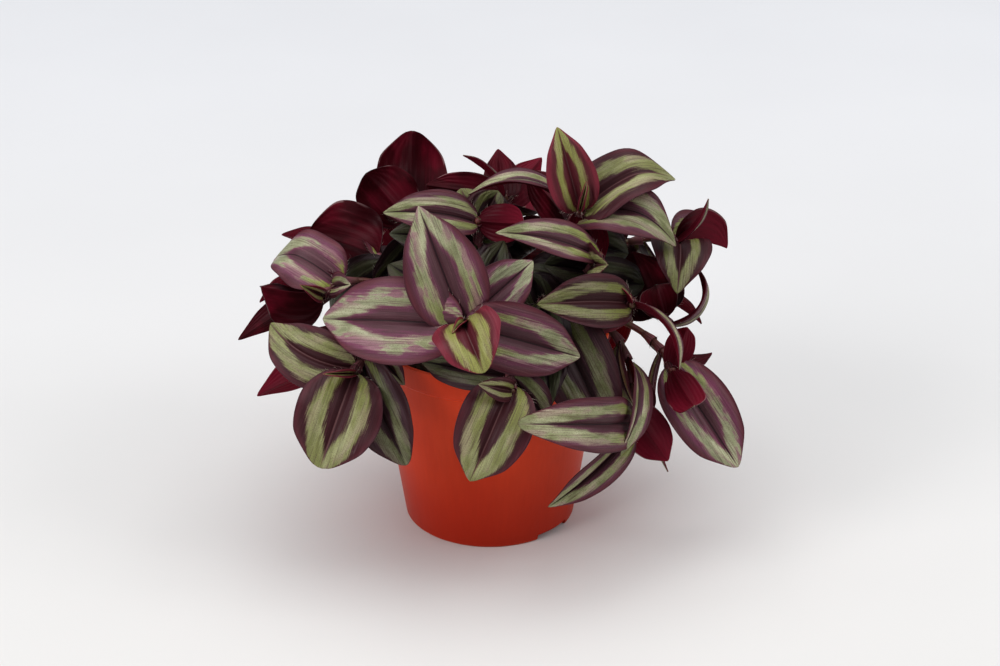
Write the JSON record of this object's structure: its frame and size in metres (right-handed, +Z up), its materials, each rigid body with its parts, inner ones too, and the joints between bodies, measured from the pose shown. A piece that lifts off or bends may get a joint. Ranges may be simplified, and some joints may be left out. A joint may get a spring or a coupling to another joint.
{
  "type": "potted tradescantia",
  "caption": "Trailing house plant with striped oval leaves on arching stems, rooted in soil in a round tapered plastic nursery pot with a collar and a notched foot ring.",
  "frame": {"origin": "centre of the pot's foot, on the surface that it stands on", "axes": "+Z up along the pot's axis, -Y towards the plant's front, +X to its right as seen from the front"},
  "size_m": [0.2481, 0.2078, 0.2045],
  "materials": {
    "pot": "satin moulded terracotta-red plastic",
    "soil": "crumbly dark potting soil",
    "foliage": "satin leaves striped silver, green and purple above, burgundy below"
  },
  "bodies": {
    "root": {"pot": "pot", "soil": "soil", "shoot_back": "foliage", "shoot_back_far_left": "foliage", "shoot_back_left": "foliage", "shoot_back_low_left": "foliage", "shoot_back_right": "foliage", "shoot_back_right_low": "foliage", "shoot_back_top": "foliage", "shoot_centre": "foliage", "shoot_centre_right": "foliage", "shoot_far_left": "foliage", "shoot_front": "foliage", "shoot_inner_back": "foliage", "shoot_inner_right": "foliage", "shoot_left": "foliage", "shoot_low_right": "foliage", "shoot_lower_middle": "foliage", "shoot_lower_right": "foliage", "shoot_middle": "foliage", "shoot_right": "foliage", "shoot_right_upper": "foliage", "shoot_top": "foliage", "shoot_top_left": "foliage", "shoot_upper_middle": "foliage"}
  },
  "joints": []
}
